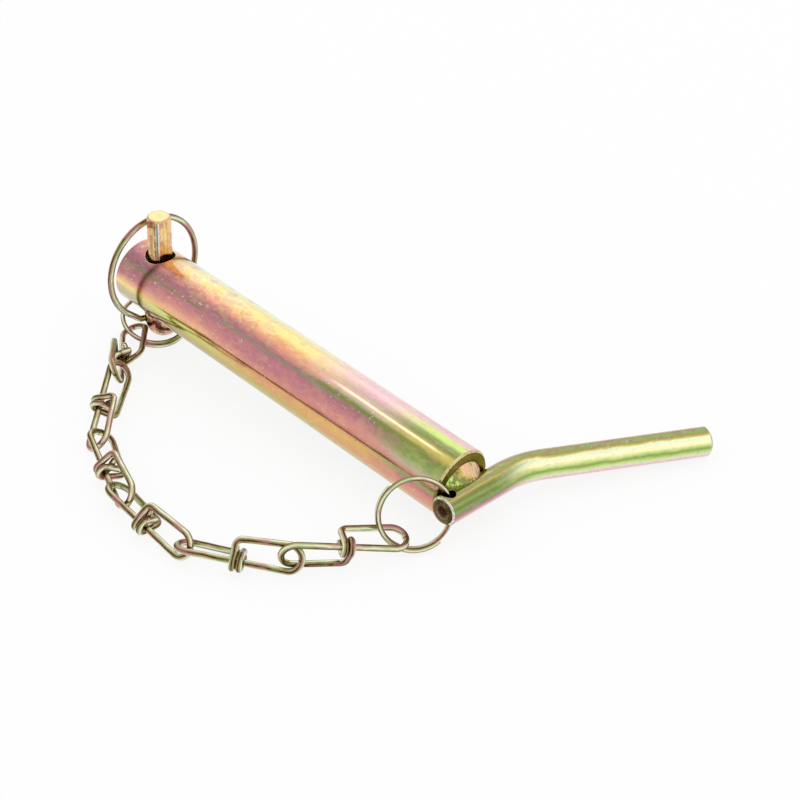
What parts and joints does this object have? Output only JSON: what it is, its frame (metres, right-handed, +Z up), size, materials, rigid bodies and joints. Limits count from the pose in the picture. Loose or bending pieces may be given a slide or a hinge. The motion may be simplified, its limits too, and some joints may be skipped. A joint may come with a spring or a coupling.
{
  "type": "hitch pin",
  "caption": "Hitch pin with a welded bent handle, and a linch pin through its tip held by a knotted chain and split rings.",
  "frame": {"origin": "middle of the whole set's plan, on the surface that it lies on", "axes": "+X along the hitch pin's plan towards the handle, +Y to the side of the handle's grip, +Z up"},
  "size_m": [0.2334, 0.1876, 0.0584],
  "materials": {
    "pin_zinc": "yellow zinc plated, iridescent",
    "handle_zinc": "yellow zinc plated, iridescent",
    "weld": "plated weld bead",
    "linch_zinc": "yellow zinc plated, iridescent",
    "spring_wire": "yellow zinc plated spring wire",
    "split_ring": "yellow zinc plated wire",
    "chain_wire": "yellow zinc plated wire"
  },
  "bodies": {
    "hitch_pin": {"pin_body": "pin_zinc", "handle": "handle_zinc", "weld_upper": "weld", "weld_lower": "weld"},
    "linch_pin": {"linch_pin": "linch_zinc"},
    "linch_ring": {"linch_ring": "spring_wire"},
    "linch_split_ring": {"linch_split_ring": "split_ring"},
    "handle_split_ring": {"handle_split_ring": "split_ring"},
    "chain_link_1": {"chain_link_1": "chain_wire"},
    "chain_link_2": {"chain_link_2": "chain_wire"},
    "chain_link_3": {"chain_link_3": "chain_wire"},
    "chain_link_4": {"chain_link_4": "chain_wire"},
    "chain_link_5": {"chain_link_5": "chain_wire"},
    "chain_link_6": {"chain_link_6": "chain_wire"}
  },
  "joints": [
    {"name": "linch_pin_slide", "type": "slide", "parent": "hitch_pin", "child": "linch_pin", "axis": [-0.0698, 0, -0.9976], "range_m": [0, 0.047]},
    {"name": "linch_ring_swing", "type": "hinge", "parent": "linch_pin", "child": "linch_ring", "pos_m": [-0.10312, -0.00147, 0.00725], "axis": [-0.0018, -0.9578, 0.2873], "range_deg": [0, 98.01]},
    {"name": "handle_split_ring_swing", "type": "hinge", "parent": "hitch_pin", "child": "handle_split_ring", "pos_m": [0.07558, -0.01359, 0.01387], "axis": [0.174, -0.093, -0.9804], "range_deg": [0, 3.56]},
    {"name": "chain_link_1_swing", "type": "hinge", "parent": "handle_split_ring", "child": "chain_link_1", "pos_m": [0.06758, -0.03385, 0.00432], "axis": [0.3937, -0.8921, 0.2218], "range_deg": [0, 17.59]},
    {"name": "chain_link_2_swing", "type": "hinge", "parent": "chain_link_1", "child": "chain_link_2", "pos_m": [0.04776, -0.06957, 0.00977], "axis": [-0.6707, 0.3087, -0.6744], "range_deg": [0, 1.1]},
    {"name": "chain_link_3_swing", "type": "hinge", "parent": "chain_link_2", "child": "chain_link_3", "pos_m": [0.01385, -0.08844, 0.00551], "axis": [0.5324, -0.8193, 0.2128], "range_deg": [0, 4.43]},
    {"name": "linch_split_ring_swing", "type": "hinge", "parent": "linch_pin", "child": "linch_split_ring", "pos_m": [-0.10312, -0.00147, 0.00725], "axis": [0.0018, 0.9578, -0.2873], "range_deg": [0, 9.17]},
    {"name": "chain_link_6_swing", "type": "hinge", "parent": "linch_split_ring", "child": "chain_link_6", "pos_m": [-0.10404, -0.0171, 0.00613], "axis": [-0.9535, -0.2607, 0.1509], "range_deg": [0, 13.77]},
    {"name": "chain_link_5_swing", "type": "hinge", "parent": "chain_link_6", "child": "chain_link_5", "pos_m": [-0.08113, -0.03768, 0.01094], "axis": [-0.1435, -0.7716, -0.6197], "range_deg": [0, 0.7501]},
    {"name": "chain_link_4_swing", "type": "hinge", "parent": "chain_link_5", "child": "chain_link_4", "pos_m": [-0.05701, -0.06851, 0.00697], "axis": [-0.3889, -0.8399, 0.3786], "range_deg": [0, 6.1]}
  ],
  "couplings": [
    {"joint": "linch_ring_swing", "follows": "linch_pin_slide", "rad_per_m": 36.395},
    {"joint": "handle_split_ring_swing", "follows": "linch_pin_slide", "rad_per_m": 1.3205},
    {"joint": "chain_link_1_swing", "follows": "linch_pin_slide", "rad_per_m": 6.533},
    {"joint": "chain_link_2_swing", "follows": "linch_pin_slide", "rad_per_m": 0.40878},
    {"joint": "chain_link_3_swing", "follows": "linch_pin_slide", "rad_per_m": 1.6465},
    {"joint": "linch_split_ring_swing", "follows": "linch_pin_slide", "rad_per_m": 3.4064},
    {"joint": "chain_link_6_swing", "follows": "linch_pin_slide", "rad_per_m": 5.1118},
    {"joint": "chain_link_5_swing", "follows": "linch_pin_slide", "rad_per_m": 0.27855},
    {"joint": "chain_link_4_swing", "follows": "linch_pin_slide", "rad_per_m": 2.264}
  ]
}
